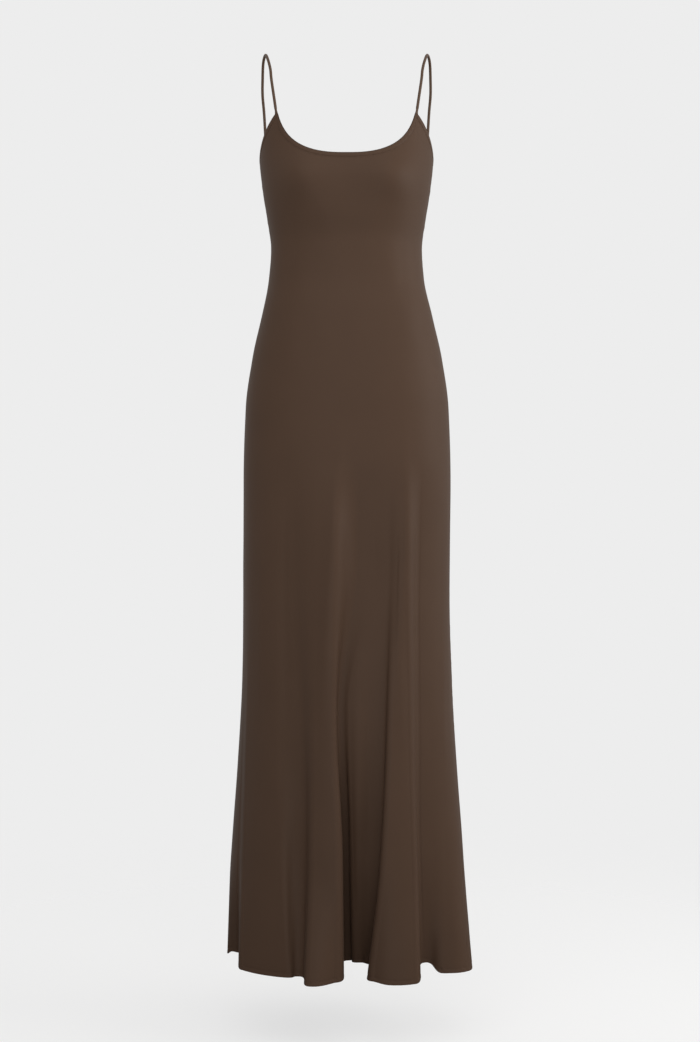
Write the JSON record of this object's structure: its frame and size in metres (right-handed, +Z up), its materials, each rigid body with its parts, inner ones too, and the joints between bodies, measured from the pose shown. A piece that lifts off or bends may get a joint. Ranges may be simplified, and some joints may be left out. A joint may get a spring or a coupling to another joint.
{
  "type": "slip dress",
  "caption": "Long bias-cut slip dress, filled out as worn and hollow, open at neck, armholes and fluted hem, with a scooped neck, bound edges and thin round shoulder straps.",
  "frame": {"origin": "midway between the undersides of the strap tops, where they rest on the wearer's shoulders", "axes": "+Z up along the wearer, -Y out of the front, +X to the wearer's left"},
  "size_m": [0.3898, 0.2942, 1.4534],
  "materials": {
    "satin": "dark brown satin with a soft sheen",
    "satin_trim": "the same satin, folded and stitched"
  },
  "bodies": {
    "root": {"front_panel": "satin", "back_panel": "satin", "neck_binding_front": "satin_trim", "neck_binding_back": "satin_trim", "armhole_binding_left": "satin_trim", "armhole_binding_right": "satin_trim", "strap_left": "satin_trim", "strap_right": "satin_trim"}
  },
  "joints": []
}
